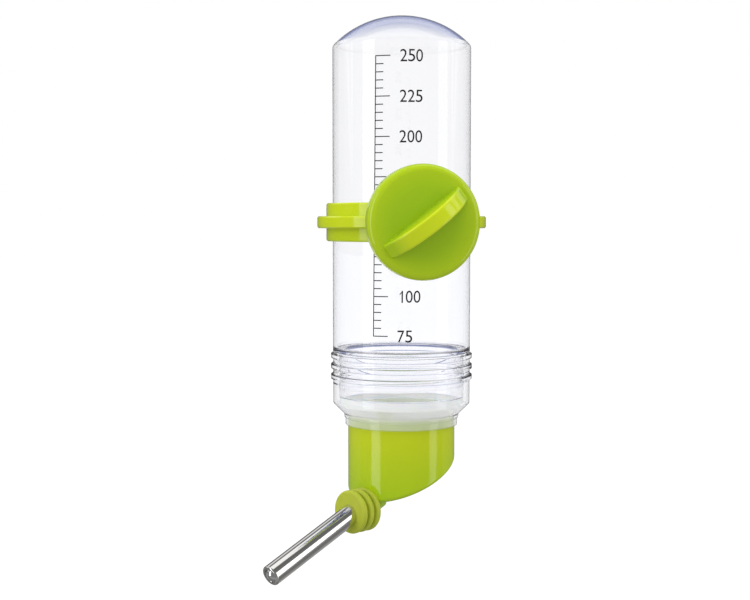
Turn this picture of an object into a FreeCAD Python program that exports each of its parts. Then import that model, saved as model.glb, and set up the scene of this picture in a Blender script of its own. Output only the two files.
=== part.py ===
import FreeCAD, Part
import math
import os

import Sketcher

# A small-animal drinking bottle: a clear inverted bottle with a screw collar, a slanting outlet with a
# steel ball-valve tube, and a clamp ring whose knob grips cage wires.  Millimetres, +Z up.  The origin is the
# centre of the ring's flat pad, where the cage wires bear; the clamp's axis points along -Y and the bottle's
# axis is vertical, pad_reach behind the pad.  Levels are heights above the ring's middle plane.

DIMENSIONS = {
    # where things stand
    "pad_reach": 27.9,  # bottle axis to the pad's face
    "nozzle_turn": 57.9,  # clamp axis to the nozzle's direction, about the bottle axis
    # bottle
    "tube_radius": 25.0,
    "tube_wall": 1.4,
    "dome_top": 74.0,
    "dome_edge": 63.2,
    "dome_rounding": 0.8,
    "shoulder_level": -47.0,
    "shoulder_drop": 0.3,
    "shoulder_wall": 1.2,
    "neck_radius": 22.7,
    "neck_bore_radius": 20.45,
    "neck_end": -63.2,
    # the screw thread between neck and collar
    "thread_pitch": 3.0,
    "thread_turns": 2.5,
    "thread_depth": 0.7,
    "thread_root_width": 2.2,
    "thread_crest_width": 0.6,
    "thread_bottom": -60.6,
    "thread_overlap": 0.25,  # how far a thread's root reaches into its wall
    # collar
    "collar_top": -47.7,
    "collar_radius": 24.95,
    "collar_bore_radius": 23.7,
    "collar_bore_end": -65.6,
    "rib_radius": 25.75,
    "rib_width": 1.5,
    "rib_pitch": 3.8,
    "rib_draft": 0.2,
    "skirt_end": -65.7,
    "lip_radius": 20.9,
    "lip_top": -69.7,
    "lip_end": -70.9,
    "hem_radius": 20.45,
    "hem_top": -71.2,
    "hem_end": -73.6,
    "sleeve_radius": 19.85,  # the collar's opening round the outlet
    "sleeve_top": -69.4,
    # seal
    "gasket_thickness": 1.8,
    "gasket_radius": 22.4,
    "gasket_bore_radius": 20.2,
    # outlet
    "elbow_radius": 19.5,
    "elbow_wall": 1.6,
    "flange_radius": 22.6,
    "flange_edge": 1.1,
    "floor_level": -92.15,  # height of the slanting floor on the bottle's axis
    "floor_slope": 24.0,
    "floor_rounding": 1.5,
    "socket_radius": 5.0,
    "socket_start": 14.2,  # along the nozzle's axis, from the bottle's axis
    "socket_bore_start": 15.4,
    "socket_end": 23.6,
    # nozzle
    "nozzle_level": -93.0,  # height at which the nozzle's line meets the bottle's axis
    "nozzle_drop": 21.6,  # degrees below the horizontal
    "nozzle_radius": 3.65,
    "nozzle_bore_radius": 3.05,
    "nozzle_start": 17.6,
    "nozzle_end": 68.7,
    "nozzle_bevel": 0.5,
    "lip_bore_radius": 2.5,
    "lip_slope": 0.35,
    "lip_dish": 0.1,
    "step_radius": 2.1,  # the inward step at the tube's upper end, on which the spring stands
    "step_length": 0.6,
    # grommet
    "grommet_level": -102.5,
    "grommet_start": 18.1,  # horizontal distances from the bottle's axis
    "grommet_end": 26.9,
    "grommet_radius": 7.7,
    "grommet_groove_radius": 6.3,
    "grommet_ring": 2.2,
    "grommet_rounding": 0.9,
    # valve
    "ball_radius": 2.9,
    "ball_gap": 0.08,
    "spring_radius": 2.4,
    "spring_wire": 0.4,
    "spring_pitch": 2.2,
    "spring_start": 19.1,  # along the nozzle's axis, from the bottle's axis
    "spring_gap": 0.1,
    # clamp ring
    "band_radius": 27.3,
    "band_bore_radius": 25.35,
    "band_height": 13.7,
    "band_chamfer": 0.5,
    "ring_flange_radius": 30.6,
    "ring_flange_height": 4.3,
    "ring_flange_rounding": 0.5,
    "pad_radius": 6.0,
    "pad_root": 26.0,  # bottle axis to the pad's back, inside the band
    "flange_gap": 7.4,  # half the break in the flange at the pad
    # screw
    "screw_radius": 2.0,
    "screw_root_radius": 1.65,
    "screw_pitch": 0.7,
    "screw_thread_root": 0.56,
    "screw_thread_crest": 0.12,
    "screw_thread_overlap": 0.1,
    "screw_neck": 0.3,  # plain cone from the full shank to the thread's root
    "screw_head_radius": 4.0,
    "screw_head_start": 25.6,  # bottle axis to the head's flat
    "screw_end": 42.0,
    # washer and knob
    "wire_gap": 2.1,
    "washer_radius": 6.0,
    "washer_thickness": 0.9,
    "washer_bore_radius": 2.15,
    "knob_radius": 20.0,
    "knob_depth": 4.8,
    "knob_front": 1.9,  # thickness of the front wall
    "knob_rim": 2.0,
    "knob_rounding": 2.5,
    "knob_inner_bevel": 0.6,
    "knob_angle": 37.6,  # grip above the horizontal
    "grip_length": 33.8,
    "grip_height": 12.0,
    "grip_width": 5.6,
    "grip_rounding": 0.8,
    "insert_radius": 2.6,
    "insert_bore_radius": 2.1,
    "insert_length": 8.0,
    "screw_room": 11.2,  # depth of the hole for the screw's end, from the front wall's back
}

doc = FreeCAD.newDocument("rabbit_water_bottle")
sheet = doc.addObject("Spreadsheet::Sheet", "size")
for row, (alias, number) in enumerate(DIMENSIONS.items(), start=1):
    sheet.set(f"A{row}", alias)
    sheet.set(f"B{row}", str(number))
    sheet.setAlias(f"B{row}", alias)
doc.recompute()

TO_BOTTLE_AXIS = ("0", "size.pad_reach", "0")
UPRIGHT = "rotation(vector(0; 0; 1); 0)"
TO_NOZZLE_SIDE = "rotation(vector(0; 0; 1); -90 - size.nozzle_turn)"
DOWN_THE_NOZZLE = "rotation(vector(0; 1; 0); 90 + size.nozzle_drop)"
TO_CAGE = "rotation(vector(1; 0; 0); 90)"
OVERSHOOT = 1  # how far a cutter passes the face that it cuts through
TRIM = 60  # size of the blocks that are larger than what they trim
CLOSE = 0.01  # two lengths this near to one another are the same


def value(expression):
    """The number that an expression of the sheet's aliases gives."""
    found = sheet.evalExpression(expression)
    return float(getattr(found, "Value", found))


def bind(thing, **expressions):
    """Tie properties to the sheet; the object is handed back."""
    for name, expression in expressions.items():
        thing.setExpression(name, expression)
    return thing


def place(thing, base=TO_BOTTLE_AXIS, rotation=UPRIGHT):
    """Tie a placement to the sheet: base is three expressions, rotation is one."""
    thing.setExpression("Placement", f"placement(vector({'; '.join(base)}); {rotation})")
    return thing


def new_body(label):
    body = doc.addObject("PartDesign::Body", label)
    body.Label = label
    return body


def new_sketch(body, name, plane="XZ_Plane"):
    sketch = body.newObject("Sketcher::SketchObject", name)
    origin_plane = next(f for f in body.Origin.OriginFeatures if f.Role == plane)
    sketch.AttachmentSupport = (origin_plane, [""])
    sketch.MapMode = "FlatFace"
    return sketch


def pin_point(sketch, geometry, point, corner):
    """Hold one point of a sketch at a pair of expressions."""
    for kind, expression in zip(("DistanceX", "DistanceY"), corner):
        number = sketch.addConstraint(
            Sketcher.Constraint(kind, -1, 1, geometry, point, value(expression)))
        sketch.setExpression(f"Constraints[{number}]", expression)


def outline(sketch, corners, arcs=None):
    """A closed outline through corners, given as pairs of expressions.

    arcs maps the number of a side to (centre, turn): the side then runs round that centre, turn being 1
    for anticlockwise and -1 for clockwise.
    """
    arcs = arcs or {}
    spots = [FreeCAD.Vector(value(across), value(up), 0) for across, up in corners]
    ends = []
    for side, start in enumerate(spots):
        finish = spots[(side + 1) % len(spots)]
        if side not in arcs:
            ends.append((sketch.addGeometry(Part.LineSegment(start, finish)), 1, 2))
            continue
        centre_at, turn = arcs[side]
        centre = FreeCAD.Vector(value(centre_at[0]), value(centre_at[1]), 0)
        first, last = (start, finish) if turn > 0 else (finish, start)
        angles = [math.atan2(p.y - centre.y, p.x - centre.x) for p in (first, last)]
        if angles[1] <= angles[0]:
            angles[1] += 2 * math.pi
        circle = Part.Circle(centre, FreeCAD.Vector(0, 0, 1), first.distanceToPoint(centre))
        arc = sketch.addGeometry(Part.ArcOfCircle(circle, *angles))
        ends.append((arc, 1, 2) if turn > 0 else (arc, 2, 1))
        steep = abs(finish.y - start.y) >= abs(finish.x - start.x)
        kind, expression = ("DistanceX", centre_at[0]) if steep else ("DistanceY", centre_at[1])
        number = sketch.addConstraint(Sketcher.Constraint(kind, -1, 1, arc, 3, value(expression)))
        sketch.setExpression(f"Constraints[{number}]", expression)
    for side, (geometry, start, _) in enumerate(ends):
        before, _, finish = ends[side - 1]
        sketch.addConstraint(Sketcher.Constraint("Coincident", before, finish, geometry, start))
        pin_point(sketch, geometry, start, corners[side])
    return sketch


def turned(body, name, corners, arcs=None, plane="XZ_Plane", axis="V_Axis", kind="Revolution"):
    """Turn an outline about one of its sketch's axes: a Revolution adds, a Groove cuts."""
    sketch = outline(new_sketch(body, f"{name}_outline", plane), corners, arcs)
    feature = body.newObject(f"PartDesign::{kind}", name)
    feature.Profile = sketch
    feature.ReferenceAxis = (sketch, [axis])
    feature.Angle = 360
    sketch.Visibility = False
    doc.recompute()
    return feature


def pushed(body, name, sketch, length, kind="Pad"):
    """Push a sketch out equally both ways: a Pad adds, a Pocket cuts."""
    feature = body.newObject(f"PartDesign::{kind}", name)
    feature.Profile = sketch
    feature.setExpression("Length", length)
    feature.Midplane = True
    doc.recompute()
    return feature


def rounded(body, name, base, edges, radius):
    """Round some edges of a body's last feature."""
    feature = body.newObject("PartDesign::Fillet", name)
    feature.Base = (base, edges)
    feature.setExpression("Radius", radius)
    doc.recompute()
    return feature


def edges_where(shape, test):
    """Names of the edges whose bounding box passes a test."""
    return [f"Edge{n}" for n, edge in enumerate(shape.Edges, start=1) if test(edge.BoundBox)]


def is_level_ring(box, radius):
    """Whether an edge's box is that of a whole level circle of this radius."""
    return abs(box.XLength - 2 * radius) < 5 * CLOSE and box.ZLength < CLOSE


def solid(kind, name, **sizes):
    """A Part primitive whose sizes are tied to the sheet."""
    return bind(doc.addObject(f"Part::{kind}", name), **sizes)


def cut(label, base, tool):
    result = doc.addObject("Part::Cut", label)
    result.Base = base
    result.Tool = tool
    result.Refine = False
    result.Label = label
    doc.recompute()
    return result


def joined(label, *pieces):
    result = doc.addObject("Part::MultiFuse", label)
    result.Shapes = list(pieces)
    result.Refine = False
    result.Label = label
    doc.recompute()
    return result


def helical_ridge(name, profile, radius, pitch, height, start, rotation=UPRIGHT, base=None):
    """Sweep a closed profile, given as corners across and up, along a helix about the local Z axis."""
    spine = solid("Helix", f"{name}_spine", Radius=radius, Pitch=pitch, Height=height)
    section = doc.addObject("Part::Feature", f"{name}_section")
    points = [FreeCAD.Vector(value(radius) + value(across), 0, value(up)) for across, up in profile]
    section.Shape = Part.makePolygon(points + points[:1])
    ridge = doc.addObject("Part::Sweep", name)
    ridge.Sections = [section]
    ridge.Spine = (spine, [])
    ridge.Solid = True
    ridge.Frenet = True
    place(ridge, base or ("0", "size.pad_reach", start), rotation)
    doc.recompute()
    return ridge


# --- bottle -------------------------------------------------------------------------------------------------

INNER_RADIUS = "size.tube_radius - size.tube_wall"
DOME_HEIGHT = "(size.dome_top - size.dome_edge)"
DOME_RADIUS = f"((size.tube_radius^2 + {DOME_HEIGHT}^2) / (2 * {DOME_HEIGHT}))"
DOME_CENTRE = f"size.dome_top - {DOME_RADIUS}"
INNER_DOME_EDGE = (f"{DOME_CENTRE} + sqrt(({DOME_RADIUS} - size.tube_wall)^2"
                   " - (size.tube_radius - size.tube_wall)^2)")
THREAD_HEIGHT = "size.thread_pitch * size.thread_turns"


def thread_profile(side):
    """Trapezium: side is 1 for a ridge that stands outwards and -1 for one that stands in."""
    root = f"{-side} * size.thread_overlap"
    crest = f"{side} * size.thread_depth"
    return [(root, "-size.thread_root_width / 2"), (root, "size.thread_root_width / 2"),
            (crest, "size.thread_crest_width / 2"), (crest, "-size.thread_crest_width / 2")]


def make_bottle_shell():
    wall = new_body("bottle_wall")
    turn = turned(wall, "bottle_turn", [
        ("0", "size.dome_top"),
        ("size.tube_radius", "size.dome_edge"),
        ("size.tube_radius", "size.shoulder_level"),
        ("size.neck_radius", "size.shoulder_level - size.shoulder_drop"),
        ("size.neck_radius", "size.neck_end"),
        ("size.neck_bore_radius", "size.neck_end"),
        ("size.neck_bore_radius", "size.shoulder_level - size.shoulder_drop + size.shoulder_wall"),
        (INNER_RADIUS, "size.shoulder_level + size.shoulder_wall"),
        (INNER_RADIUS, INNER_DOME_EDGE),
        ("0", "size.dome_top - size.tube_wall"),
    ], arcs={0: (("0", DOME_CENTRE), -1), 8: (("0", DOME_CENTRE), 1)})
    edge_level = value("size.dome_edge")
    radius = value("size.tube_radius")
    rim = edges_where(turn.Shape, lambda box: is_level_ring(box, radius)
                      and abs(box.ZMin - edge_level) < CLOSE)
    rounded(wall, "dome_edge_round", turn, rim, "size.dome_rounding")
    place(wall)
    ridge = helical_ridge("neck_thread", thread_profile(1), "size.neck_radius", "size.thread_pitch",
                          THREAD_HEIGHT, "size.thread_bottom")
    return joined("bottle_shell", wall, ridge)


# --- collar, seal -------------------------------------------------------------------------------------------

SEAT_LEVEL = "size.neck_end - size.gasket_thickness"
RIBS = 3


def make_collar():
    body = new_body("collar_wall")
    corners = [("size.collar_bore_radius", "size.collar_top")]
    for rib in range(RIBS):
        top = f"size.collar_top - {rib} * size.rib_pitch"
        corners += [("size.rib_radius", top),
                    ("size.rib_radius", f"{top} - size.rib_width"),
                    ("size.collar_radius", f"{top} - size.rib_width - size.rib_draft")]
        if rib < RIBS - 1:
            corners.append(("size.collar_radius", f"{top} - size.rib_pitch + size.rib_draft"))
    corners += [
        ("size.collar_radius", "size.skirt_end"),
        ("size.lip_radius", "size.lip_top"),
        ("size.lip_radius", "size.lip_end"),
        ("size.hem_radius", "size.hem_top"),
        ("size.hem_radius", "size.hem_end"),
        ("size.sleeve_radius", "size.hem_end"),
        ("size.sleeve_radius", "size.sleeve_top"),
        ("size.collar_bore_radius", "size.collar_bore_end"),
    ]
    turned(body, "collar_turn", corners)
    place(body)
    ridge = helical_ridge("collar_thread", thread_profile(-1), "size.collar_bore_radius",
                          "size.thread_pitch", THREAD_HEIGHT,
                          "size.thread_bottom + size.thread_pitch / 2")
    return joined("collar", body, ridge)


def make_gasket():
    body = new_body("neck_gasket")
    turned(body, "gasket_turn", [
        ("size.gasket_bore_radius", "size.neck_end"),
        ("size.gasket_radius", "size.neck_end"),
        ("size.gasket_radius", SEAT_LEVEL),
        ("size.gasket_bore_radius", SEAT_LEVEL),
    ])
    return place(body)


# --- outlet -------------------------------------------------------------------------------------------------

FLOOR_TILT = f"{TO_NOZZLE_SIDE} * rotation(vector(0; 1; 0); size.floor_slope)"
DOWN_TO_CAGE_SIDE = f"{TO_NOZZLE_SIDE} * {DOWN_THE_NOZZLE}"
NOZZLE_ORIGIN = ("0", "size.pad_reach", "size.nozzle_level")


def below_floor(name, rise):
    """A block whose top is the slanting floor, raised by an expression."""
    block = doc.addObject("Part::Box", name)
    block.Length = block.Width = 2 * TRIM
    block.Height = TRIM
    corner = f"{FLOOR_TILT} * vector(-{TRIM}; -{TRIM}; -{TRIM})"
    centre = f"vector(0; size.pad_reach; size.floor_level + ({rise}) / cos(size.floor_slope * 1 deg))"
    block.setExpression("Placement", f"placement({centre} + {corner}; {FLOOR_TILT})")
    doc.recompute()
    return block


def down_nozzle(distance):
    """The point on the nozzle's line that far from the bottle's axis, as three expressions."""
    drop = "size.nozzle_drop * 1 deg"
    turn = "(90 + size.nozzle_turn) * 1 deg"
    return (f"({distance}) * cos({drop}) * cos({turn})",
            f"size.pad_reach - ({distance}) * cos({drop}) * sin({turn})",
            f"size.nozzle_level - ({distance}) * sin({drop})")


def along_nozzle(kind, name, start, **sizes):
    """A primitive on the nozzle's line, start being its distance down that line from the bottle's axis."""
    return place(solid(kind, name, **sizes), down_nozzle(start), DOWN_TO_CAGE_SIDE)


def make_elbow():
    blank = new_body("elbow_blank")
    bottom = "size.floor_level - size.elbow_radius"
    turned(blank, "elbow_turn", [
        ("0", SEAT_LEVEL),
        ("size.flange_radius", SEAT_LEVEL),
        ("size.flange_radius", f"{SEAT_LEVEL} - size.flange_edge"),
        ("size.elbow_radius", "size.sleeve_top"),
        ("size.elbow_radius", bottom),
        ("0", bottom),
    ])
    place(blank)
    trimmed = cut("elbow_trimmed", blank, below_floor("below_floor_outside", "0"))
    soft = doc.addObject("Part::Fillet", "elbow_soft")
    soft.Base = trimmed
    highest = value("size.floor_level + size.elbow_radius * tan(size.floor_slope * 1 deg)") + OVERSHOOT
    low = edges_where(trimmed.Shape, lambda box: box.ZMax < highest and box.XLength > 1)
    rounding = value("size.floor_rounding")
    soft.Edges = [(int(name[len("Edge"):]), rounding, rounding) for name in low]
    doc.recompute()
    socket = along_nozzle("Cylinder", "socket_outside", "size.socket_start", Radius="size.socket_radius",
                          Height="size.socket_end - size.socket_start")
    outside = joined("elbow_outside", soft, socket)
    core = solid("Cylinder", "elbow_core", Radius="size.elbow_radius - size.elbow_wall", Height=str(TRIM))
    place(core, ("0", "size.pad_reach", f"{SEAT_LEVEL} + {OVERSHOOT} - {TRIM}"))
    chamber = cut("elbow_chamber", core, below_floor("below_floor_inside", "size.elbow_wall"))
    bore = along_nozzle("Cylinder", "socket_bore", "size.socket_bore_start", Radius="size.nozzle_radius",
                        Height=f"size.socket_end - size.socket_bore_start + {OVERSHOOT}")
    return cut("elbow_body", outside, joined("elbow_inside", chamber, bore))


GROMMET_RINGS = 3


def make_grommet(elbow_outside):
    body = new_body("grommet_blank")
    pitch = f"((size.grommet_end - size.grommet_start - size.grommet_ring) / {GROMMET_RINGS - 1})"
    corners = [("0", "size.grommet_start")]
    for ring in range(GROMMET_RINGS):
        start = f"size.grommet_start + {ring} * {pitch}"
        corners += [("size.grommet_radius", start),
                    ("size.grommet_radius", f"{start} + size.grommet_ring")]
        if ring < GROMMET_RINGS - 1:
            corners += [("size.grommet_groove_radius", f"{start} + size.grommet_ring"),
                        ("size.grommet_groove_radius", f"{start} + {pitch}")]
    corners.append(("0", "size.grommet_end"))
    turn = turned(body, "grommet_turn", corners)
    outer = value("size.grommet_radius")
    rims = edges_where(turn.Shape, lambda box: is_level_ring(box, outer))
    rounded(body, "grommet_round", turn, rims, "size.grommet_rounding")
    place(body, ("0", "size.pad_reach", "size.grommet_level"),
          f"{TO_NOZZLE_SIDE} * rotation(vector(0; 1; 0); 90)")
    bore = along_nozzle("Cylinder", "grommet_bore", "size.nozzle_start", Radius="size.nozzle_radius",
                        Height="size.nozzle_end - size.nozzle_start")
    return cut("grommet", body, joined("grommet_inside", elbow_outside, bore))


# --- nozzle and valve ---------------------------------------------------------------------------------------

LIP_THICKNESS = "(size.nozzle_radius - size.nozzle_bore_radius)"
BALL_BACK = "sqrt(size.ball_radius^2 - size.lip_bore_radius^2)"
BALL_CENTRE = f"(size.nozzle_end - {LIP_THICKNESS} - {BALL_BACK} - size.ball_gap)"


def make_nozzle_tube():
    body = new_body("nozzle_tube")
    rounding = "(size.nozzle_radius - size.lip_bore_radius) / 2"
    inner_end = f"size.nozzle_end - {LIP_THICKNESS}"
    turned(body, "tube_turn", [
        ("size.nozzle_radius - size.nozzle_bevel", "size.nozzle_start"),
        ("size.nozzle_radius", "size.nozzle_start + size.nozzle_bevel"),
        ("size.nozzle_radius", f"size.nozzle_end - {rounding}"),
        (f"size.nozzle_radius - {rounding}", "size.nozzle_end"),
        ("size.lip_bore_radius", "size.nozzle_end - size.lip_dish"),
        ("size.lip_bore_radius", inner_end),
        ("size.nozzle_bore_radius", f"{inner_end} - size.lip_slope"),
        ("size.nozzle_bore_radius", "size.nozzle_start + 2 * size.step_length"),
        ("size.step_radius", "size.nozzle_start + size.step_length"),
        ("size.step_radius", "size.nozzle_start"),
    ], arcs={2: ((f"size.nozzle_radius - {rounding}", f"size.nozzle_end - {rounding}"), 1)})
    return place(body, NOZZLE_ORIGIN, DOWN_TO_CAGE_SIDE)


def make_valve_ball():
    return along_nozzle("Sphere", "valve_ball", BALL_CENTRE, Radius="size.ball_radius")


def make_valve_spring():
    reach = "sqrt((size.ball_radius + size.spring_wire / 2)^2 - size.spring_radius^2)"
    height = f"{BALL_CENTRE} - {reach} - size.spring_gap - size.spring_start"
    spine = solid("Helix", "spring_spine", Radius="size.spring_radius", Pitch="size.spring_pitch",
                  Height=height)
    section = doc.addObject("Part::Feature", "spring_section")
    centre = FreeCAD.Vector(value("size.spring_radius"), 0, 0)
    section.Shape = Part.Wire(Part.makeCircle(value("size.spring_wire / 2"), centre, FreeCAD.Vector(0, 1, 0)))
    spring = doc.addObject("Part::Sweep", "valve_spring")
    spring.Sections = [section]
    spring.Spine = (spine, [])
    spring.Solid = True
    spring.Frenet = True
    place(spring, down_nozzle("size.spring_start"), DOWN_TO_CAGE_SIDE)
    doc.recompute()
    return spring


# --- clamp --------------------------------------------------------------------------------------------------

def make_clamp_ring():
    body = new_body("clamp_ring")
    half, lug = "size.band_height / 2", "size.ring_flange_height / 2"
    bevel, curve = "size.band_chamfer", "size.ring_flange_rounding"

    def half_outline(sign):
        """From the bore to the flange's rim, above the middle plane for 1 and below it for -1."""
        return [
            ("size.band_bore_radius", f"{sign} * ({half} - {bevel})"),
            (f"size.band_bore_radius + {bevel}", f"{sign} * ({half})"),
            (f"size.band_radius - {bevel}", f"{sign} * ({half})"),
            ("size.band_radius", f"{sign} * ({half} - {bevel})"),
            ("size.band_radius", f"{sign} * ({lug})"),
            (f"size.ring_flange_radius - {curve}", f"{sign} * ({lug})"),
            ("size.ring_flange_radius", f"{sign} * ({lug} - {curve})"),
        ]

    turned(body, "ring_turn", half_outline(1) + half_outline(-1)[::-1])
    reach = f"(size.ring_flange_radius + {OVERSHOOT})"
    edge = "-sqrt(size.band_radius^2 - size.flange_gap^2)"
    break_sketch = outline(new_sketch(body, "flange_break_outline", "XY_Plane"), [
        ("-size.flange_gap", edge),
        ("size.flange_gap", edge),
        ("size.flange_gap", f"-{reach}"),
        ("-size.flange_gap", f"-{reach}"),
    ], arcs={0: (("0", "0"), 1)})
    pushed(body, "flange_break", break_sketch, f"size.ring_flange_height + {OVERSHOOT}", "Pocket")
    turned(body, "pad_turn", [
        ("-size.pad_reach", "0"),
        ("-size.pad_reach", "size.pad_radius"),
        ("-size.pad_root", "size.pad_radius"),
        ("-size.pad_root", "0"),
    ], plane="YZ_Plane", axis="H_Axis")
    turned(body, "screw_hole", [
        (f"-size.pad_reach - {OVERSHOOT}", "0"),
        (f"-size.pad_reach - {OVERSHOOT}", "size.screw_radius"),
        ("-size.screw_head_start - size.screw_head_radius + size.screw_radius", "size.screw_radius"),
        ("-size.screw_head_start", "size.screw_head_radius"),
        (f"-size.band_bore_radius + {OVERSHOOT}", "size.screw_head_radius"),
        (f"-size.band_bore_radius + {OVERSHOOT}", "0"),
    ], plane="YZ_Plane", axis="H_Axis", kind="Groove")
    return place(body)


def make_clamp_screw():
    core = new_body("screw_core")
    neck = "size.screw_head_start + size.screw_head_radius - size.screw_radius"
    turned(core, "screw_turn", [
        ("0", "size.screw_head_start"),
        ("size.screw_head_radius", "size.screw_head_start"),
        ("size.screw_radius", neck),
        ("size.screw_radius", "size.pad_reach"),
        ("size.screw_root_radius", "size.pad_reach + size.screw_neck"),
        ("size.screw_root_radius", "size.screw_end"),
        ("0", "size.screw_end"),
    ])
    place(core, TO_BOTTLE_AXIS, TO_CAGE)
    crest = "size.screw_radius - size.screw_root_radius"
    profile = [("-size.screw_thread_overlap", "-size.screw_thread_root / 2"),
               ("-size.screw_thread_overlap", "size.screw_thread_root / 2"),
               (crest, "size.screw_thread_crest / 2"),
               (crest, "-size.screw_thread_crest / 2")]
    ridge = helical_ridge("screw_thread", profile, "size.screw_root_radius", "size.screw_pitch",
                          "size.screw_end - size.pad_reach - 2 * size.screw_pitch", None, TO_CAGE,
                          ("0", "-size.screw_pitch", "0"))
    return joined("clamp_screw", core, ridge)


def make_washer():
    body = new_body("cage_washer")
    start = "size.pad_reach + size.wire_gap"
    turned(body, "washer_turn", [
        ("size.washer_bore_radius", start),
        ("size.washer_radius", start),
        ("size.washer_radius", f"{start} + size.washer_thickness"),
        ("size.washer_bore_radius", f"{start} + size.washer_thickness"),
    ])
    return place(body, TO_BOTTLE_AXIS, TO_CAGE)


KNOB_INNER = "size.pad_reach + size.wire_gap + size.washer_thickness"
KNOB_FACE = f"({KNOB_INNER} + size.knob_front)"
TO_GRIP = f"{TO_CAGE} * rotation(vector(0; 0; 1); size.knob_angle)"


def make_knob():
    body = new_body("knob")
    back = f"{KNOB_FACE} - size.knob_depth"
    shoulder = f"{KNOB_FACE} - size.knob_rounding"
    brow = "size.knob_radius - size.knob_rounding"
    turned(body, "knob_turn", [
        ("0", KNOB_FACE),
        (brow, KNOB_FACE),
        ("size.knob_radius", shoulder),
        ("size.knob_radius", back),
        ("size.knob_radius - size.knob_rim", back),
        ("size.knob_radius - size.knob_rim", f"{KNOB_INNER} - size.knob_inner_bevel"),
        ("size.knob_radius - size.knob_rim - size.knob_inner_bevel", KNOB_INNER),
        ("0", KNOB_INNER),
    ], arcs={1: ((brow, shoulder), -1)})
    half = "size.grip_length / 2"
    foot = f"{KNOB_FACE} - size.knob_front / 2"
    arch_radius = f"((({half})^2 + size.grip_height^2) / (2 * size.grip_height))"
    arch_centre = f"{KNOB_FACE} + size.grip_height - {arch_radius}"
    arch = outline(new_sketch(body, "grip_outline"), [
        (f"-({half})", foot),
        (half, foot),
        (half, KNOB_FACE),
        (f"-({half})", KNOB_FACE),
    ], arcs={2: (("0", arch_centre), 1)})
    grip = pushed(body, "grip", arch, "size.grip_width")
    width, face = value("size.grip_width / 2"), value(KNOB_FACE)
    crest = edges_where(grip.Shape, lambda box: abs(abs(box.YMin) - width) < CLOSE
                        and box.YLength < CLOSE and box.ZMax > face + OVERSHOOT)
    rounded(body, "grip_round", grip, crest, "size.grip_rounding")
    turned(body, "insert_hole", [
        ("0", f"{KNOB_INNER} - {OVERSHOOT}"),
        ("size.insert_radius", f"{KNOB_INNER} - {OVERSHOOT}"),
        ("size.insert_radius", f"{KNOB_INNER} + size.insert_length"),
        ("size.insert_bore_radius", f"{KNOB_INNER} + size.insert_length"),
        ("size.insert_bore_radius", f"{KNOB_INNER} + size.screw_room"),
        ("0", f"{KNOB_INNER} + size.screw_room"),
    ], kind="Groove")
    return place(body, TO_BOTTLE_AXIS, TO_GRIP)


def make_knob_insert():
    body = new_body("knob_insert")
    turned(body, "insert_turn", [
        ("size.insert_bore_radius", KNOB_INNER),
        ("size.insert_radius", KNOB_INNER),
        ("size.insert_radius", f"{KNOB_INNER} + size.insert_length"),
        ("size.insert_bore_radius", f"{KNOB_INNER} + size.insert_length"),
    ])
    return place(body, TO_BOTTLE_AXIS, TO_GRIP)


def check(thing):
    """Stop unless a sub-part is a good solid."""
    shape = thing.Shape
    if shape.isNull() or not shape.isValid() or not shape.Solids:
        raise SystemExit(f"{thing.Label}: not a valid solid")


elbow = make_elbow()
parts = [
    make_bottle_shell(),
    make_collar(),
    make_gasket(),
    elbow,
    make_grommet(doc.getObject("elbow_outside")),
    make_nozzle_tube(),
    make_valve_ball(),
    make_valve_spring(),
    make_clamp_ring(),
    make_clamp_screw(),
    make_washer(),
    make_knob(),
    make_knob_insert(),
]
doc.recompute()

bad = [thing.Name for thing in doc.Objects if {"Invalid", "Error"} & set(thing.State)]
if bad:
    raise SystemExit(f"failed objects: {bad}")

os.makedirs("parts", exist_ok=True)
for thing in parts:
    check(thing)
    thing.Shape.exportStep(os.path.join("parts", f"{thing.Label}.step"))
    print(f"{thing.Label}: {thing.Shape.Volume:.1f} mm3 in {len(thing.Shape.Solids)} solid")
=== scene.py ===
import math

import bmesh
import bpy
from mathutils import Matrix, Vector


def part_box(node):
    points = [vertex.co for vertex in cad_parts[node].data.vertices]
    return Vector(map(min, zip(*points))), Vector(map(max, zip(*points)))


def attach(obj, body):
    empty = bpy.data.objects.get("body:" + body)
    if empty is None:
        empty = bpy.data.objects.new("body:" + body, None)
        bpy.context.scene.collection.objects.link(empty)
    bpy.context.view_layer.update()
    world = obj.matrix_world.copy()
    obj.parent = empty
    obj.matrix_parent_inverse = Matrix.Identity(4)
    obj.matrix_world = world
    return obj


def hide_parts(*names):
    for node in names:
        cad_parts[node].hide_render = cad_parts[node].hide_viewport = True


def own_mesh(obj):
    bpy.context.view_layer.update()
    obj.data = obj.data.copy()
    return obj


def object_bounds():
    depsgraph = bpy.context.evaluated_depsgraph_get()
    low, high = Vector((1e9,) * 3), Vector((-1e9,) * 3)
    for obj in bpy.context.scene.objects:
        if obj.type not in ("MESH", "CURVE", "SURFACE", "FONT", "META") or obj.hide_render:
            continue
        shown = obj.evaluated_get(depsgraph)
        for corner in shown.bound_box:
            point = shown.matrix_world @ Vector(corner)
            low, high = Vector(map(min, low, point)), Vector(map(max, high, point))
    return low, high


# The looks of a small-animal drinking bottle, built round its CAD frame.  Metres; +Z up; the origin is the
# centre of the clamp ring's pad and the clamp's axis points along -Y.

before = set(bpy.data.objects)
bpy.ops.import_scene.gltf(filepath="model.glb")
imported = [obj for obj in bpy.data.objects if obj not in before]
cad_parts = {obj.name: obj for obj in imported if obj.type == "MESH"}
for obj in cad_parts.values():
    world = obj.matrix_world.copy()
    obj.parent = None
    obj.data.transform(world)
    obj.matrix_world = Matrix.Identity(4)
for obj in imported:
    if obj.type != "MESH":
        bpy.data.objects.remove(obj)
cad_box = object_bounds()

MM = 0.001

# --- places read from the frame --------------------------------------------------------------------

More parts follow.
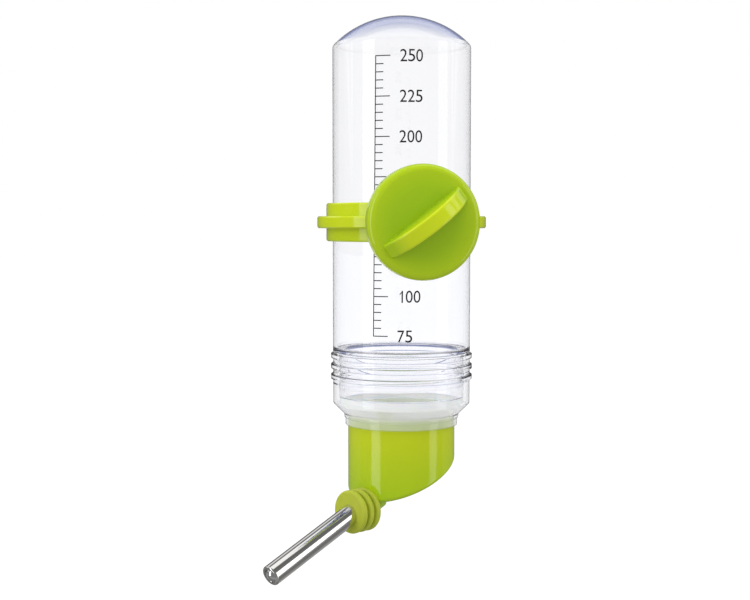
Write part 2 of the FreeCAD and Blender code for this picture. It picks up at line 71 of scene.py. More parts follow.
shell_low, shell_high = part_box("bottle_shell")
collar_low, collar_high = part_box("collar")
elbow_low, elbow_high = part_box("elbow_body")
knob_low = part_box("knob")[0]
ball_low, ball_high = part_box("valve_ball")

AXIS = Vector(((shell_low.x + shell_high.x) / 2, (shell_low.y + shell_high.y) / 2, 0))
TUBE_RADIUS = (shell_high.x - shell_low.x) / 2
DOME_TOP = shell_high.z
NECK_END = shell_low.z
COLLAR_TOP = collar_high.z
COLLAR_END = collar_low.z
RIB_RADIUS = (collar_high.x - collar_low.x) / 2
BALL_CENTRE = (ball_low + ball_high) / 2

# --- the directions that the object is looked at from ----------------------------------------------

VIEW_TURN = math.radians(13.4)  # the camera stands this far round from the clamp's axis, towards -X
TO_CAMERA = Vector((-math.sin(VIEW_TURN), -math.cos(VIEW_TURN), 0))
TO_RIGHT = Vector((math.cos(VIEW_TURN), -math.sin(VIEW_TURN), 0))


def seen_round(angle, radius, height):
    """A point round the bottle: angle is in degrees to the right of the side that faces the camera."""
    turn = math.radians(angle)
    level = AXIS + radius * (math.cos(turn) * TO_CAMERA + math.sin(turn) * TO_RIGHT)
    return Vector((level.x, level.y, height))


# --- mesh helpers ----------------------------------------------------------------------------------

def object_from(bm, name, crease=40):
    """A smooth-shaded object from a bmesh, with edges sharper than crease degrees kept sharp."""
    bmesh.ops.recalc_face_normals(bm, faces=bm.faces)
    mesh = bpy.data.meshes.new(name)
    bm.to_mesh(mesh)
    bm.free()
    mesh.shade_smooth()
    mesh.set_sharp_from_angle(angle=math.radians(crease))
    thing = bpy.data.objects.new(name, mesh)
    bpy.context.scene.collection.objects.link(thing)
    return thing


def rounded_path(corners, closed=False, steps=5):
    """Points through corners given as (radius, height, rounding); a rounding of 0 keeps the corner sharp."""
    points = []
    count = len(corners)
    for number, (radius, height, rounding) in enumerate(corners):
        here = Vector((radius, height))
        at_end = not closed and number in (0, count - 1)
        if rounding == 0 or at_end:
            points.append(here)
            continue
        before = Vector(corners[number - 1][:2]) - here
        after = Vector(corners[(number + 1) % count][:2]) - here
        start = here + before.normalized() * min(rounding, before.length * 0.45)
        finish = here + after.normalized() * min(rounding, after.length * 0.45)
        for step in range(steps + 1):
            t = step / steps
            points.append(start * (1 - t) ** 2 + here * (2 * t * (1 - t)) + finish * t ** 2)
    return points


def lathe(name, path, closed=False, segments=192, bulge=None, crease=40):
    """Turns a path of (radius, height) about the bottle's axis.

    bulge(angle, radius, height) says how far a point is moved out.
    """
    bm = bmesh.new()
    rings = []
    for radius, height in path:
        if radius < 1e-7:
            rings.append([bm.verts.new((AXIS.x, AXIS.y, height))])
            continue
        ring = []
        for number in range(segments):
            angle = math.tau * number / segments
            reach = radius + (bulge(angle, radius, height) if bulge else 0)
            x = AXIS.x + reach * math.cos(angle)
            y = AXIS.y + reach * math.sin(angle)
            ring.append(bm.verts.new((x, y, height)))
        rings.append(ring)
    pairs = list(zip(rings, rings[1:]))
    if closed:
        pairs.append((rings[-1], rings[0]))
    for one, other in pairs:
        for number in range(segments):
            after = (number + 1) % segments
            if len(one) == 1:
                bm.faces.new((one[0], other[number], other[after]))
            elif len(other) == 1:
                bm.faces.new((one[number], one[after], other[0]))
            else:
                bm.faces.new((one[number], one[after], other[after], other[number]))
    return object_from(bm, name, crease)


def spread(start, finish, step):
    """Numbers from start towards finish, about a step apart, without the two ends."""
    count = max(1, round(abs(finish - start) / step))
    return [start + (finish - start) * number / count for number in range(1, count)]


def smooth_step(low, high, x):
    t = min(1, max(0, (x - low) / (high - low)))
    return t * t * (3 - 2 * t)


# --- materials -------------------------------------------------------------------------------------

NOISE_RANGE = (0.3, 0.7)  # where nearly all of a noise's values lie


def feed(socket, source):
    """Links a socket to another one, or gives it a plain setting."""
    if isinstance(source, bpy.types.NodeSocket):
        socket.id_data.links.new(source, socket)
    else:
        socket.default_value = source


def add_node(tree, kind, inputs=None, **settings):
    """A new node, with its own settings and what each named or numbered socket gets."""
    node = tree.nodes.new(kind)
    for name, setting in settings.items():
        setattr(node, name, setting)
    for name, source in (inputs or {}).items():
        feed(node.inputs[name], source)
    return node


def mix_colours(tree, share, one, other):
    return add_node(tree, "ShaderNodeMix", {"Factor": share, "A": one, "B": other},
                    data_type="RGBA").outputs["Result"]


class Nodes:
    """A short way to write a material's nodes."""

    def __init__(self, name):
        self.material = bpy.data.materials.new(name)
        self.material.use_nodes = True
        self.tree = self.material.node_tree
        self.shader = self.tree.nodes["Principled BSDF"]
        self.place = self.add("ShaderNodeTexCoord").outputs["Object"]

    def add(self, kind, inputs=None, **settings):
        return add_node(self.tree, kind, inputs, **settings)

    def set(self, **inputs):
        """Feeds the shader: Base_Color=... stands for its Base Color socket."""
        for name, source in inputs.items():
            feed(self.shader.inputs[name.replace("_", " ")], source)

    def noise(self, scale, detail=2.0, place=None):
        return self.add("ShaderNodeTexNoise", {
            "Vector": place or self.place, "Scale": scale, "Detail": detail,
        }).outputs["Fac"]

    def ramp(self, source, low, high, to_low=0.0, to_high=1.0):
        return self.add("ShaderNodeMapRange", {
            "Value": source, "From Min": low, "From Max": high, "To Min": to_low, "To Max": to_high,
        }).outputs["Result"]

    def wander(self, scale, low=0.0, high=1.0, detail=2.0):
        """A number that wanders between low and high, faster for a larger scale."""
        return self.ramp(self.noise(scale, detail), *NOISE_RANGE, low, high)

    def mix(self, share, one, other):
        return mix_colours(self.tree, share, one, other)

    def along(self, direction, origin=(0, 0, 0)):
        """Distance of a point along a direction, from an origin."""
        shifted = self.add("ShaderNodeVectorMath", {0: self.place, 1: origin}, operation="SUBTRACT")
        return self.add("ShaderNodeVectorMath", {0: shifted.outputs["Vector"], 1: direction},
                        operation="DOT_PRODUCT").outputs["Value"]

    def bump(self, height, distance, after=None):
        inputs = {"Height": height, "Distance": distance}
        if after is not None:
            inputs["Normal"] = after
        return self.add("ShaderNodeBump", inputs).outputs["Normal"]


def colour(red, green, blue):
    return (red, green, blue, 1.0)


WHITE = colour(1, 1, 1)
LIME_WARM = colour(0.52, 0.62, 0.010)
# the next colour is the lime with painted shade, for places painted darker as if less light fell there
LIME_PAINTED_SHADE = colour(0.34, 0.53, 0.009)
# the next colour is the lime with painted light, for places painted lighter as if more light fell there
LIME_PAINTED_LIGHT = colour(0.58, 0.69, 0.012)
PALE_GREEN = colour(0.60, 0.69, 0.34)
MILKY = colour(0.95, 0.97, 0.93)
LIME_IOR = 1.49
CLAMP_WAY = (0, -1, 0)
UPWARD = (0, 0, 1)

# heights between which the ring turns from painted shade below to painted light above
RING_PAINTED_SHADE_HEIGHT, RING_PAINTED_LIGHT_HEIGHT = -30 * MM, 2 * MM

# painted light: the knob's face brightens between two distances from its axis,
# and its grip between two depths from its front
FACE_MIDDLE, FACE_RIM = 11 * MM, 20 * MM
FACE_RIM_SHARE = 0.42
GRIP_FOOT, GRIP_CREST = 9 * MM, 3 * MM

# painted shade low on the outlet turns to painted light from above its bottom to below its top, and it turns
# pale and milky behind the collar
OUTLET_PAINTED_SHADE_RISE, OUTLET_PAINTED_LIGHT_DROP = 3 * MM, 12 * MM
HEM_HEIGHT = 2.4 * MM
HEM_FADE, MILKY_FADE = 0.4 * MM, 2.5 * MM


class LimePlastic(Nodes):
    # share mixes from the deep colour to the warm one; every caller uses it to paint shade and light
    def finish(self, share, deep, warm):
        flow = self.ramp(self.noise(55, detail=3), 0.35, 0.65, -0.04, 0.04)
        share = self.add("ShaderNodeMath", {0: share, 1: flow}).outputs["Value"]
        skin = self.bump(self.noise(1500, detail=1), 0.000012)
        wave = self.bump(self.noise(160, detail=1), 0.00006, after=skin)
        self.set(Base_Color=self.mix(share, deep, warm), Normal=wave,
                 Roughness=self.wander(420, 0.07, 0.12))
        self.set(IOR=LIME_IOR, Specular_IOR_Level=0.5, Subsurface_Weight=0.12,
                 Subsurface_Radius=(1.0, 0.9, 0.2), Subsurface_Scale=0.0015)


def lime_ring():
    nodes = LimePlastic("lime_ring")
    # painted light: the ring's colour runs from painted shade low down to painted light higher up
    nodes.finish(nodes.ramp(nodes.along(UPWARD), RING_PAINTED_SHADE_HEIGHT, RING_PAINTED_LIGHT_HEIGHT), LIME_PAINTED_SHADE, LIME_PAINTED_LIGHT)
    return nodes.material


def lime_knob():
    """The face has painted shade round its middle; its rim and the grip have painted light."""
    nodes = LimePlastic("lime_knob")
    flat = nodes.add("ShaderNodeVectorMath", {0: nodes.place, 1: (1, 0, 1)}, operation="MULTIPLY")
    out = nodes.add("ShaderNodeVectorMath", {0: flat.outputs["Vector"]}, operation="LENGTH").outputs["Value"]
    # painted light on the face's rim and on the raised grip
    rim = nodes.ramp(out, FACE_MIDDLE, FACE_RIM, 0.0, FACE_RIM_SHARE)
    raised = nodes.ramp(nodes.along(CLAMP_WAY), -knob_low.y - GRIP_FOOT, -knob_low.y - GRIP_CREST)
    share = nodes.add("ShaderNodeMath", {0: rim, 1: raised}, operation="MAXIMUM").outputs["Value"]
    nodes.finish(share, LIME_PAINTED_SHADE, LIME_PAINTED_LIGHT)
    return nodes.material


def lime_outlet():
    """Painted shade low down and painted light higher up; behind the collar's hem it is pale green, and
    milky above that.
    """
    nodes = LimePlastic("lime_outlet")
    level = nodes.along(UPWARD)
    # painted shade at the outlet's bottom, painted light towards its top
    painted_light_share = nodes.ramp(level, elbow_low.z + OUTLET_PAINTED_SHADE_RISE, elbow_high.z - OUTLET_PAINTED_LIGHT_DROP)
    nodes.finish(painted_light_share, LIME_PAINTED_SHADE, LIME_WARM)
    lime = nodes.shader.inputs["Base Color"].links[0].from_socket
    covered = nodes.ramp(level, COLLAR_END, COLLAR_END + HEM_FADE)
    high = nodes.ramp(level, COLLAR_END + HEM_HEIGHT, COLLAR_END + HEM_HEIGHT + MILKY_FADE)
    nodes.set(Base_Color=nodes.mix(covered, lime, nodes.mix(high, PALE_GREEN, MILKY)))
    return nodes.material


def lime_rubber():
    nodes = Nodes("lime_soft_rubber")
    cloud = nodes.wander(240, detail=4)
    grain = nodes.bump(nodes.noise(2600, detail=2), 0.00002)
    nodes.set(Base_Color=nodes.mix(cloud, colour(0.41, 0.48, 0.030), colour(0.46, 0.52, 0.036)),
              Roughness=nodes.wander(900, 0.38, 0.5), Normal=grain)
    nodes.set(Specular_IOR_Level=0.35, Subsurface_Weight=0.15, Subsurface_Radius=(1.0, 0.9, 0.2),
              Subsurface_Scale=0.001)
    return nodes.material


CLEAR_IOR = 1.44
CLEAR_TINT = colour(0.45, 0.47, 0.76)
BOTTLE_DENSITY = 18.0
COLLAR_DENSITY = 8.0


def clear_plastic(name, density):
    """Clear moulded plastic, whose blue cast shows where a line of sight runs far through it."""
    nodes = Nodes(name)
    flow = nodes.ramp(nodes.noise(90, detail=2), 0.35, 0.65)
    nodes.set(Base_Color=nodes.mix(flow, colour(0.994, 0.995, 0.999), WHITE),
              Roughness=nodes.wander(700, 0.004, 0.02),
              Normal=nodes.bump(nodes.noise(60, detail=1), 0.00002))
    nodes.set(IOR=CLEAR_IOR, Transmission_Weight=1.0)
    body = nodes.add("ShaderNodeVolumeAbsorption", {"Color": CLEAR_TINT, "Density": density})
    output = nodes.tree.nodes["Material Output"]
    feed(output.inputs["Volume"], body.outputs["Volume"])
    return nodes.material


def seal_rubber():
    nodes = Nodes("milky_seal")
    cloud = nodes.wander(300, detail=3)
    nodes.set(Base_Color=nodes.mix(cloud, colour(0.95, 0.96, 0.95), colour(0.99, 0.99, 0.99)),
              Roughness=nodes.wander(1200, 0.45, 0.6))
    nodes.set(Specular_IOR_Level=0.2, Subsurface_Weight=0.3, Subsurface_Scale=0.001)
    return nodes.material


def metal(name, one, other, low_roughness, high_roughness, direction, origin, stretch, grain, depth):
    """Metal with fine scratches drawn out along a direction, grain to the metre across it."""
    nodes = Nodes(name)
    drawn = Vector(direction).normalized()
    side = drawn.orthogonal().normalized()
    across = drawn.cross(side)
    place = nodes.add("ShaderNodeCombineXYZ", {
        "X": nodes.ramp(nodes.along(drawn, origin), 0, 1, 0, stretch),
        "Y": nodes.along(side, origin),
        "Z": nodes.along(across, origin),
    }).outputs["Vector"]
    streak = nodes.noise(grain, detail=3, place=place)
    nodes.set(Base_Color=nodes.mix(streak, one, other), Metallic=1.0,
              Roughness=nodes.ramp(streak, *NOISE_RANGE, low_roughness, high_roughness),
              Normal=nodes.bump(streak, depth))
    return nodes.material


def ink():
    nodes = Nodes("black_ink")
    cover = nodes.ramp(nodes.noise(1400, detail=4), 0.42, 0.62)
    nodes.set(Base_Color=nodes.mix(cover, colour(0.006, 0.006, 0.008), colour(0.018, 0.018, 0.022)),
              Roughness=0.5)
    nodes.set(Specular_IOR_Level=0.15)
    return nodes.material


NOZZLE_DROP = math.radians(21.6)
NOZZLE_WAY = (BALL_CENTRE - AXIS) * Vector((1, 1, 0))
NOZZLE_WAY = NOZZLE_WAY.normalized() * math.cos(NOZZLE_DROP) - Vector((0, 0, math.sin(NOZZLE_DROP)))


def dress(node, material):
    """Gives a CAD node its material."""
    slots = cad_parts[node].material_slots
    for slot in slots:
        slot.material = material


def make_materials():
    dress("knob", lime_knob())
    dress("clamp_ring", lime_ring())
    dress("elbow_body", lime_outlet())
    for node in ("elbow_body", "clamp_ring"):
        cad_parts[node].visible_glossy = False  # keeps green streaks off the steel
    dress("grommet", lime_rubber())
    dress("neck_gasket", seal_rubber())
    polished = metal("drawn_steel", colour(0.80, 0.79, 0.77), colour(0.70, 0.69, 0.67), 0.05, 0.10,
                     NOZZLE_WAY, BALL_CENTRE, 0.03, 1600, 0.000004)
    dress("nozzle_tube", polished)
    dress("valve_ball", metal("ball_steel", colour(0.80, 0.80, 0.80), colour(0.74, 0.74, 0.74), 0.04, 0.09,
                              NOZZLE_WAY, BALL_CENTRE, 1.0, 900, 0.000001))
    zinc = metal("zinc_steel", colour(0.66, 0.67, 0.68), colour(0.52, 0.53, 0.55), 0.22, 0.38,
                 CLAMP_WAY, (0, 0, 0), 1.0, 700, 0.000006)
    for node in ("clamp_screw", "cage_washer", "valve_spring"):
        dress(node, zinc)
    dress("knob_insert", metal("turned_brass", colour(0.80, 0.60, 0.27), colour(0.66, 0.47, 0.19), 0.2, 0.34,
                               CLAMP_WAY, (0, 0, 0), 12.0, 500, 0.000008))


# --- the spring, which shortens when the ball is pushed in; here it only gets its own copy of its mesh ---


def make_spring_follow():
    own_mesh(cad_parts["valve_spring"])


# --- clear pieces ----------------------------------------------------------------------------------

WALL = 1.4 * MM
DOME_RISE = 10.8 * MM
DOME_ROUNDING = 0.8 * MM
SHOULDER_LEVEL = COLLAR_TOP + 0.7 * MM
SHOULDER_DROP = 0.3 * MM
SHOULDER_WALL = 1.2 * MM
NECK_RADIUS = 22.7 * MM
NECK_BORE = 20.45 * MM
NECK_ROUNDING = 0.3 * MM
PLAIN_NECK = 1.5 * MM  # from the shoulder to where the thread's rows start
NECK_END_ROOM = 0.6 * MM  # from the neck's end to where they stop
INNER_SHOULDER_ROUNDING = 0.8 * MM

THREAD_PITCH = 3.0 * MM
THREAD_TURNS = 2.5
THREAD_DEPTH = 0.12 * MM
THREAD_ROOT = 2.2 * MM
THREAD_CREST = 0.6 * MM
THREAD_BOTTOM = NECK_END + 2.6 * MM
THREAD_STEP = 0.16 * MM
THREAD_FADE = 0.08  # share of a turn over which a thread runs out


def thread_rise(angle, height, bottom):
    """How far a thread stands out of its wall at a point, its lowest turn starting at a height."""
    rise = 0.0
    turn = angle / math.tau
    for whole in range(math.ceil(THREAD_TURNS) + 1):
        along = turn + whole
        if along > THREAD_TURNS:
            break
        offset = abs(height - bottom - along * THREAD_PITCH)
        slope = 1 - smooth_step(THREAD_CREST / 2, THREAD_ROOT / 2, offset)
        ends = smooth_step(0, THREAD_FADE, along) * smooth_step(0, THREAD_FADE, THREAD_TURNS - along)
        rise = max(rise, slope * ends * THREAD_DEPTH)
    return rise


def dome(ball, foot, centre, steps=22):
    """Points from the middle of a dome to its foot; ball is the radius of its curve about the centre."""
    widest = math.acos((foot - centre) / ball)
    return [Vector((ball * math.sin(widest * number / steps),
                    centre + ball * math.cos(widest * number / steps))) for number in range(steps + 1)]


def make_bottle():
    plain_neck = SHOULDER_LEVEL - PLAIN_NECK
    thread_rows = spread(plain_neck, NECK_END + NECK_END_ROOM, THREAD_STEP)
    ball = (TUBE_RADIUS ** 2 + DOME_RISE ** 2) / (2 * DOME_RISE)
    foot = DOME_TOP - DOME_RISE
    centre = DOME_TOP - ball
    over = dome(ball, foot, centre)
    under = dome(math.hypot(TUBE_RADIUS - WALL, foot - centre), foot, centre)
    outside = over[:-2] + rounded_path([
        (*over[-3], 0),
        (TUBE_RADIUS, foot, DOME_ROUNDING),
        (TUBE_RADIUS, SHOULDER_LEVEL, NECK_ROUNDING),
        (NECK_RADIUS, SHOULDER_LEVEL - SHOULDER_DROP, NECK_ROUNDING),
        (NECK_RADIUS, plain_neck, 0),
    ])[1:]
    outside += [Vector((NECK_RADIUS, height)) for height in thread_rows]
    inside = rounded_path([
        (NECK_RADIUS, NECK_END + NECK_END_ROOM, 0),
        (NECK_RADIUS, NECK_END, NECK_ROUNDING),
        (NECK_BORE, NECK_END, NECK_ROUNDING),
        (NECK_BORE, SHOULDER_LEVEL - SHOULDER_DROP + SHOULDER_WALL, NECK_ROUNDING),
        (TUBE_RADIUS - WALL, SHOULDER_LEVEL + SHOULDER_WALL, INNER_SHOULDER_ROUNDING),
        (*under[-1], DOME_ROUNDING),
        (*under[-3], 0),
    ])
    path = outside + inside[:-1] + under[-3::-1]

    def bulge(angle, radius, height):
        outer = abs(radius - NECK_RADIUS) < 1e-6 and height > NECK_END
        return thread_rise(angle, height, THREAD_BOTTOM) if outer else 0

    bottle = lathe("bottle_tube", path, bulge=bulge)
    bottle.data.materials.append(clear_plastic("clear_bottle", BOTTLE_DENSITY))
    bottle.visible_shadow = False
    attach(bottle, "bottle")
    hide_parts("bottle_shell")


COLLAR_RADIUS = 24.95 * MM
COLLAR_BORE = 23.7 * MM
RIB_COUNT = 3
RIB_PITCH = 3.8 * MM
RIB_WIDTH = 1.5 * MM
RIB_DRAFT = 0.15 * MM
FINE_ROUNDING = 0.15 * MM
LIP_ROUNDING = 0.3 * MM
PLAIN_SKIRT = 1.5 * MM  # from the skirt's end to where the thread's rows start
SKIRT_END = COLLAR_TOP - 18.0 * MM
LIP_RADIUS = 20.9 * MM
LIP_TOP = COLLAR_TOP - 22.0 * MM
LIP_END = LIP_TOP - 1.2 * MM
HEM_RADIUS = 20.45 * MM
SLEEVE_BORE = 19.85 * MM


def make_collar():
    corners = [(COLLAR_BORE, COLLAR_TOP, 0.2 * MM)]
    for rib in range(RIB_COUNT):
        top = COLLAR_TOP - rib * RIB_PITCH
        corners += [(RIB_RADIUS, top, FINE_ROUNDING), (RIB_RADIUS, top - RIB_WIDTH, FINE_ROUNDING),
                    (COLLAR_RADIUS, top - RIB_WIDTH - RIB_DRAFT, FINE_ROUNDING)]
        if rib < RIB_COUNT - 1:
            corners.append((COLLAR_RADIUS, top - RIB_PITCH + RIB_DRAFT, FINE_ROUNDING))
    corners += [
        (COLLAR_RADIUS, SKIRT_END, 0.5 * MM),
        (LIP_RADIUS, LIP_TOP, LIP_ROUNDING),
        (LIP_RADIUS, LIP_END, LIP_ROUNDING),
        (HEM_RADIUS, LIP_END - 0.25 * MM, 0.1 * MM),
        (HEM_RADIUS, COLLAR_END, FINE_ROUNDING),
        (SLEEVE_BORE, COLLAR_END, FINE_ROUNDING),
        (SLEEVE_BORE, LIP_TOP + 0.3 * MM, 0.2 * MM),
        (COLLAR_BORE, SKIRT_END + 0.1 * MM, 0.4 * MM),
        (COLLAR_BORE, SKIRT_END + PLAIN_SKIRT, 0),
    ]
    path = rounded_path(corners, closed=True)
    path += [Vector((COLLAR_BORE, height))
             for height in spread(SKIRT_END + PLAIN_SKIRT, COLLAR_TOP - 0.4 * MM, THREAD_STEP)]

    def bulge(angle, radius, height):
        inner = abs(radius - COLLAR_BORE) < 1e-6 and height > SKIRT_END + 1.4 * MM
        return -thread_rise(angle, height, THREAD_BOTTOM + THREAD_PITCH / 2) if inner else 0

    collar = lathe("screw_collar", path, closed=True, bulge=bulge)
    collar.data.materials.append(clear_plastic("clear_collar", COLLAR_DENSITY))
    collar.visible_shadow = False
    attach(collar, "collar")
    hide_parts("collar")


# --- printed scale ---------------------------------------------------------------------------------

PRINT_LEVEL = TUBE_RADIUS + 0.03 * MM
INK_THICKNESS = 0.04 * MM
PRINT_TURN = -23.0  # degrees to the right of the camera, at the middle of the scale
PRINT_LEAN = 2.0  # degrees that the print turns over its length
LINE_WEIGHT = 0.34 * MM
MINOR_TICK = 2.8 * MM
MAJOR_TICK = 5.2 * MM
SCALE_TOP = 57.1 * MM
SCALE_FIRST, SCALE_LAST, SCALE_STEP = 250, 75, 5
LABEL_EVERY = 25
LABEL_SPACING = 13.81 * MM
DIGIT_HEIGHT = 4.2 * MM
DIGIT_START = 8.6 * MM
DIGIT_PITCH = 2.75 * MM
DIGIT_WIDTH = 2.4 * MM
ONE_WIDTH = 1.15 * MM
WRAP_STEP = 0.6 * MM


def wrapped(across, height):
    """A point of the print on the tube, across being its distance from the scale's line."""
    length = LABEL_SPACING * (SCALE_FIRST - SCALE_LAST) / LABEL_EVERY
    lean = PRINT_LEAN * (0.5 - (SCALE_TOP - height) / length)
    return seen_round(PRINT_TURN + lean + math.degrees(across / TUBE_RADIUS), PRINT_LEVEL, height)


def ink_block(bm, left, right, low, high):
    """A printed rectangle, bent round the tube."""
    columns = [left] + spread(left, right, WRAP_STEP) + [right]
    rows = [low] + spread(low, high, 2 * MM) + [high]
    grid = [[bm.verts.new(wrapped(across, height)) for across in columns] for height in rows]
    for lower, upper in zip(grid, grid[1:]):
        for number in range(len(columns) - 1):
            bm.faces.new((lower[number], lower[number + 1], upper[number + 1], upper[number]))


def printed(thing, material):
    """Gives a flat print its thickness and material, and puts it on the bottle."""
    thick = thing.modifiers.new("ink", "SOLIDIFY")
    thick.thickness = INK_THICKNESS
    thick.offset = 1
    thing.data.materials.append(material)
    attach(thing, "bottle")


def make_scale():
    black = ink()
    bm = bmesh.new()
    half = LINE_WEIGHT / 2
    marks = range(SCALE_FIRST, SCALE_LAST - 1, -SCALE_STEP)
    for mark in marks:
        level = SCALE_TOP - (SCALE_FIRST - mark) * LABEL_SPACING / LABEL_EVERY
        reach = MAJOR_TICK if mark % LABEL_EVERY == 0 else MINOR_TICK
        ink_block(bm, half, reach, level - half, level + half)
    ink_block(bm, -half, half, level - half, SCALE_TOP + half)
    printed(object_from(bm, "scale_marks"), black)
    for mark in range(SCALE_FIRST, SCALE_LAST - 1, -LABEL_EVERY):
        level = SCALE_TOP - (SCALE_FIRST - mark) * LABEL_SPACING / LABEL_EVERY
        make_number(str(mark), level, black)


# the digit 1 in a box of width 1 and height 1: a stem at the right and a flag at its top left
ONE = ((0, 0.62), (0.58, 0.80), (0.58, 0), (1, 0), (1, 1), (0.72, 1), (0.40, 0.84), (0, 0.74))


def flat_digit(digit):
    """A flat mesh of one digit, as a bmesh."""
    if digit == "1":
        bm = bmesh.new()
        bm.faces.new([bm.verts.new((x, y, 0)) for x, y in ONE])
        bmesh.ops.triangulate(bm, faces=bm.faces)
        return bm
    curve = bpy.data.curves.new("digit", "FONT")
    curve.body = digit
    flat = bpy.data.objects.new("digit", curve)
    mesh = bpy.data.meshes.new_from_object(flat)
    bpy.data.objects.remove(flat)
    bm = bmesh.new()
    bm.from_mesh(mesh)
    bpy.data.meshes.remove(mesh)
    bmesh.ops.triangulate(bm, faces=bm.faces)
    return bm


def make_number(text, level, material):
    """A number whose middle is at a level, each digit fitted to its place and bent round the tube."""
    whole = bmesh.new()
    for number, digit in enumerate(text):
        bm = flat_digit(digit)
        across = [v.co.x for v in bm.verts]
        up = [v.co.y for v in bm.verts]
        wide = ONE_WIDTH if digit == "1" else DIGIT_WIDTH
        start = DIGIT_START + number * DIGIT_PITCH + (DIGIT_WIDTH - wide) / 2
        for v in bm.verts:
            x = start + (v.co.x - min(across)) / (max(across) - min(across)) * wide
            y = level + ((v.co.y - min(up)) / (max(up) - min(up)) - 0.5) * DIGIT_HEIGHT
            v.co = wrapped(x, y)
        digit_mesh = bpy.data.meshes.new("digit")
        bm.to_mesh(digit_mesh)
        bm.free()
        whole.from_mesh(digit_mesh)
        bpy.data.meshes.remove(digit_mesh)
    printed(object_from(whole, f"scale_number_{text}"), material)


# --- studio ----------------------------------------------------------------------------------------

EYE_HEIGHT = 0.45 * MM
EYE_DISTANCE = 0.478
EYE_LEFT = 9.64 * MM
EYE_PITCH = math.radians(3.45)
LENS = 62.95
FLOOR_GAP = 60 * MM
FLOOR_RADIUS = 6.0
FLOOR_GLOW = 0.96
BOUNCES = 24


def make_camera():
    camera = bpy.data.objects.new("camera", bpy.data.cameras.new("camera"))
    camera.data.lens = LENS
    camera.data.clip_start = 0.01
    camera.location = AXIS + EYE_DISTANCE * TO_CAMERA - EYE_LEFT * TO_RIGHT + Vector((0, 0, EYE_HEIGHT))
    gaze = -math.cos(EYE_PITCH) * TO_CAMERA - Vector((0, 0, math.sin(EYE_PITCH)))
    camera.rotation_mode = "QUATERNION"
    camera.rotation_quaternion = gaze.to_track_quat("-Z", "Y")
    bpy.context.scene.collection.objects.link(camera)
    bpy.context.scene.camera = camera


def make_light(name, angle, height, distance, width, tall, strength, in_gloss=True):
    """A softbox that faces the object; its strength is its brightness, 1 being white."""
    lamp = bpy.data.lights.new(name, "AREA")
    lamp.shape = "RECTANGLE"
    lamp.size, lamp.size_y = width, tall
    lamp.energy = strength * math.pi * width * tall
    thing = bpy.data.objects.new(name, lamp)
    thing.location = seen_round(angle, distance, height)
    thing.rotation_mode = "QUATERNION"
    thing.rotation_quaternion = (AXIS - thing.location).to_track_quat("-Z", "Y")
    thing.visible_camera = False
    thing.visible_transmission = False
    thing.visible_glossy = in_gloss
    bpy.context.scene.collection.objects.link(thing)


CEILING = colour(0.30, 0.35, 0.64)
CEILING_START, CEILING_FULL = 0.17, 0.30  # sines of the heights between which the blue sets in
ROOM_BELOW, ROOM_ABOVE = 0.48, 1.05  # brightness that lights the object from straight below and above

# what reflections find: degrees up from the camera's side, over the top and on to the back, and a brightness
REFLECTED = ((-180, 0.12), (-140, 0.40), (-120, 0.20), (-95, 0.18), (-65, 0.35), (-30, 0.22), (25, 0.20),
             (60, 0.20), (84, 0.14), (87, 1.2), (111, 1.2), (114, 0.18), (126, 0.20), (131, 0.9), (146, 0.8),
             (154, 0.16), (180, 0.12))


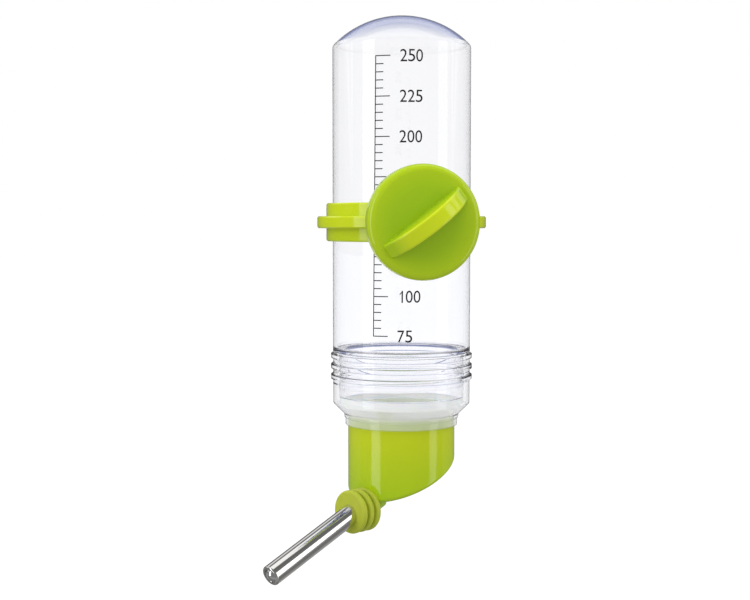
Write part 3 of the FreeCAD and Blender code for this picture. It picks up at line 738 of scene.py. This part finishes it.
def make_world():
    """A room that the camera sees as white, and that lights the object more from above.

    What is seen through clear plastic is white below and blue high up, and reflections find REFLECTED.
    """
    world = bpy.data.worlds.new("studio")
    world.use_nodes = True
    tree = world.node_tree
    bpy.context.scene.world = world
    tree.nodes.clear()

    def add(kind, inputs=None, **settings):
        return add_node(tree, kind, inputs, **settings)

    way = add("ShaderNodeTexCoord").outputs["Generated"]
    front = add("ShaderNodeVectorMath", {0: way, 1: TO_CAMERA}, operation="DOT_PRODUCT").outputs["Value"]
    level = add("ShaderNodeSeparateXYZ", {0: way}).outputs["Z"]
    up = add("ShaderNodeMath", {0: level, 1: front}, operation="ARCTAN2").outputs["Value"]
    share = add("ShaderNodeMapRange", {
        "Value": up, "From Min": -math.pi, "From Max": math.pi,
    }).outputs["Result"]
    bands = add("ShaderNodeValToRGB", {"Fac": share})
    stops = bands.color_ramp.elements
    for degrees, _ in REFLECTED[1:-1]:
        stops.new(degrees / 360 + 0.5)
    for stop, (degrees, brightness) in zip(stops, REFLECTED):
        stop.position = degrees / 360 + 0.5
        stop.color = (brightness, brightness, brightness, 1)
    over = add("ShaderNodeMapRange", {"Value": level, "From Min": CEILING_START, "From Max": CEILING_FULL},
               interpolation_type="SMOOTHSTEP").outputs["Result"]
    ceiling = mix_colours(tree, over, WHITE, CEILING)

    room = add("ShaderNodeMapRange", {"Value": level, "From Min": -1.0, "From Max": 1.0,
                                      "To Min": ROOM_BELOW, "To Max": ROOM_ABOVE}).outputs["Result"]
    path = add("ShaderNodeLightPath").outputs
    through = add("ShaderNodeMath", {0: path["Transmission Depth"], 1: 0.5}, operation="GREATER_THAN")
    lighting = add("ShaderNodeMath", {0: path["Diffuse Depth"], 1: 0.5}, operation="GREATER_THAN")
    shown = mix_colours(tree, through.outputs["Value"], bands.outputs["Color"], ceiling)
    shown = mix_colours(tree, lighting.outputs["Value"], shown, room)
    shown = mix_colours(tree, path["Is Camera Ray"], shown, WHITE)
    background = add("ShaderNodeBackground", {"Color": shown})
    add("ShaderNodeOutputWorld", {"Surface": background.outputs["Background"]})


def make_floor():
    bm = bmesh.new()
    bmesh.ops.create_circle(bm, cap_ends=True, segments=96, radius=FLOOR_RADIUS)
    floor = object_from(bm, "floor")
    floor.location = (AXIS.x, AXIS.y, cad_box[0].z - FLOOR_GAP)
    nodes = Nodes("pale_floor")
    cloud = nodes.noise(3, detail=2)
    nodes.set(Base_Color=nodes.mix(cloud, colour(0.06, 0.06, 0.06), colour(0.07, 0.07, 0.07)), Roughness=0.9)
    nodes.set(Emission_Color=WHITE, Emission_Strength=FLOOR_GLOW)
    floor.data.materials.append(nodes.material)
    floor.visible_glossy = False
    floor.visible_diffuse = False


def make_studio():
    make_camera()
    make_world()
    make_floor()
    make_light("softbox_left", angle=-57, height=0.10, distance=1.1, width=0.42, tall=1.4, strength=2.2)
    make_light("softbox_right", angle=70, height=-0.04, distance=1.2, width=0.4, tall=1.3, strength=1.6)
    make_light("softbox_top", angle=20, height=1.3, distance=0.35, width=1.2, tall=1.0, strength=1.5,
               in_gloss=False)
    make_light("softbox_back", angle=180, height=0.6, distance=1.5, width=1.6, tall=0.8, strength=0.9,
               in_gloss=False)
    scene = bpy.context.scene
    scene.view_settings.view_transform = "Standard"
    scene.cycles.max_bounces = BOUNCES
    scene.cycles.transmission_bounces = BOUNCES


make_materials()
make_spring_follow()
make_bottle()
make_collar()
make_scale()
make_studio()
